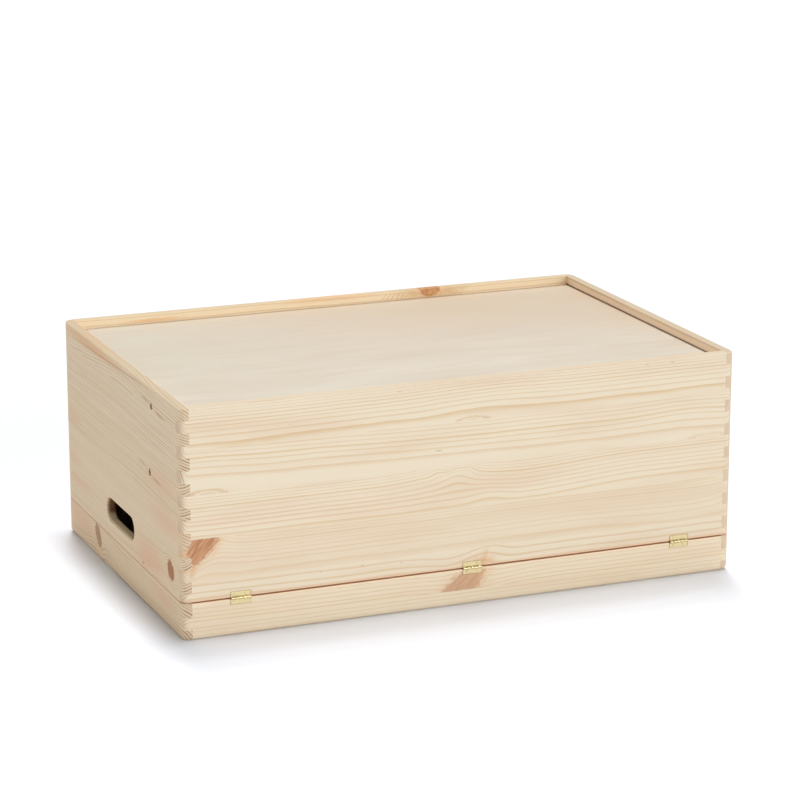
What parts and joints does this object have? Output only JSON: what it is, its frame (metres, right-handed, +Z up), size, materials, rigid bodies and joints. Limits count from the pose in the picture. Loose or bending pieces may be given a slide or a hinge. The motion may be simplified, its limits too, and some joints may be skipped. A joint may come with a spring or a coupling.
{
  "type": "wooden storage box",
  "caption": "Pine storage box with finger-jointed corners, hand slots and a shallow lid on small brass hinges, standing upside down on its lid.",
  "frame": {"origin": "on the floor under the middle of the whole outline, hinge knuckles included", "axes": "+X along the hinge line (longest extent), +Y from the hinged face to the far face, +Z up as the object stands on its lid (shortest extent)"},
  "size_m": [0.6, 0.3976, 0.235],
  "materials": {
    "pine": "sanded, unfinished",
    "plywood": "sanded, unfinished",
    "hinge_brass": "satin plated",
    "pin_steel": "satin"
  },
  "bodies": {
    "lid": {"lid_back_rail": "pine", "lid_front_rail": "pine", "lid_left_rail": "pine", "lid_right_rail": "pine", "lid_panel": "plywood", "left_hinge_lid_leaf": "hinge_brass", "middle_hinge_lid_leaf": "hinge_brass", "right_hinge_lid_leaf": "hinge_brass", "lid_hinge_nails": "hinge_brass"},
    "box": {"box_back_board": "pine", "box_front_board": "pine", "box_left_end": "pine", "box_right_end": "pine", "box_bottom_panel": "plywood", "left_hinge_box_leaf": "hinge_brass", "left_hinge_pin": "pin_steel", "middle_hinge_box_leaf": "hinge_brass", "middle_hinge_pin": "pin_steel", "right_hinge_box_leaf": "hinge_brass", "right_hinge_pin": "pin_steel", "box_hinge_nails": "hinge_brass"}
  },
  "joints": [
    {"name": "lid_hinge", "type": "hinge", "parent": "lid", "child": "box", "pos_m": [0, -0.1972, 0.0388], "axis": [1, 0, 0], "range_deg": [0, 101.5]}
  ]
}
